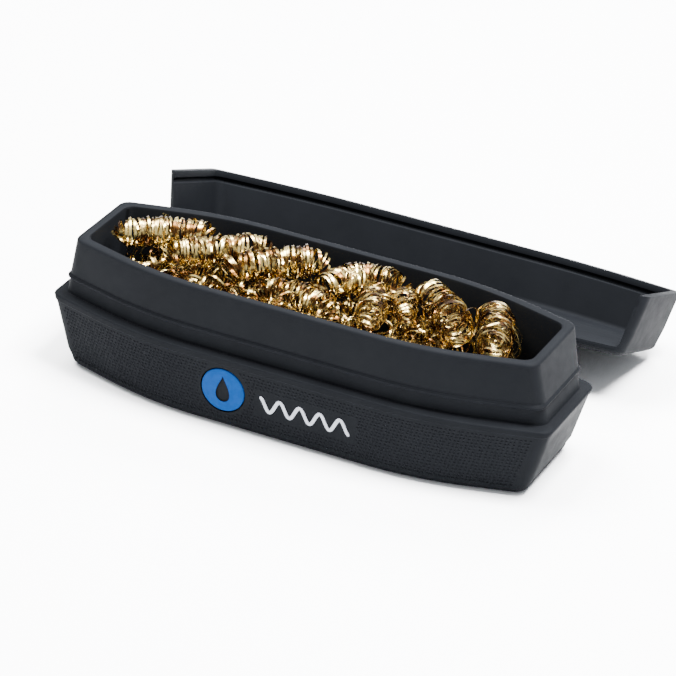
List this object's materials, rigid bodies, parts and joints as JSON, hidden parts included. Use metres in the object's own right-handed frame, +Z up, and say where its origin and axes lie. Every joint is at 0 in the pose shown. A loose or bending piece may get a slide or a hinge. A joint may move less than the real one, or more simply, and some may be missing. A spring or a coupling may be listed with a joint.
{
  "type": "tip cleaning brass",
  "caption": "Silicone tray with a nest of curled brass ribbon for wiping a soldering iron tip, and a lid that snaps shut, joined by a folding flap, shown open.",
  "frame": {"origin": "middle of the tray's flat underside, on the surface it stands on", "axes": "+X along the tray's length, +Y towards the open lid, +Z up"},
  "size_m": [0.12, 0.0904, 0.0312],
  "materials": {
    "silicone": "matt moulded silicone, with a fine dot knurl on the tray's long sides",
    "brass": "bright thin ribbon with dark brown shadow between turns",
    "badge": null
  },
  "bodies": {
    "tray": {"tray_shell": "silicone", "badge_disc": "badge", "brass_curl_bottom_1": "brass", "brass_curl_bottom_2": "brass", "brass_curl_bottom_3": "brass", "brass_curl_bottom_4": "brass", "brass_curl_bottom_5": "brass", "brass_curl_lower_1": "brass", "brass_curl_lower_2": "brass", "brass_curl_lower_3": "brass", "brass_curl_middle_1": "brass", "brass_curl_middle_10": "brass", "brass_curl_middle_11": "brass", "brass_curl_middle_2": "brass", "brass_curl_middle_3": "brass", "brass_curl_middle_4": "brass", "brass_curl_middle_5": "brass", "brass_curl_middle_6": "brass", "brass_curl_middle_7": "brass", "brass_curl_middle_8": "brass", "brass_curl_middle_9": "brass", "brass_curl_top_1": "brass", "brass_curl_top_2": "brass", "brass_curl_top_3": "brass", "brass_curl_top_4": "brass", "brass_curl_top_5": "brass", "brass_curl_top_6": "brass", "brass_curl_top_7": "brass", "brass_curl_top_8": "brass", "brass_curl_top_9": "brass"},
    "flap": {"hinge_flap": "silicone"},
    "lid": {"lid_shell": "silicone"}
  },
  "joints": [
    {"name": "flap_hinge", "type": "hinge", "parent": "tray", "child": "flap", "pos_m": [0, 0.0196, 0.016], "axis": [1, 0, 0], "range_deg": [0, 78.2]},
    {"name": "lid_hinge", "type": "hinge", "parent": "flap", "child": "lid", "pos_m": [0, 0.03158, 0.01889], "axis": [1, 0, 0], "range_deg": [0, 123.8]}
  ]
}
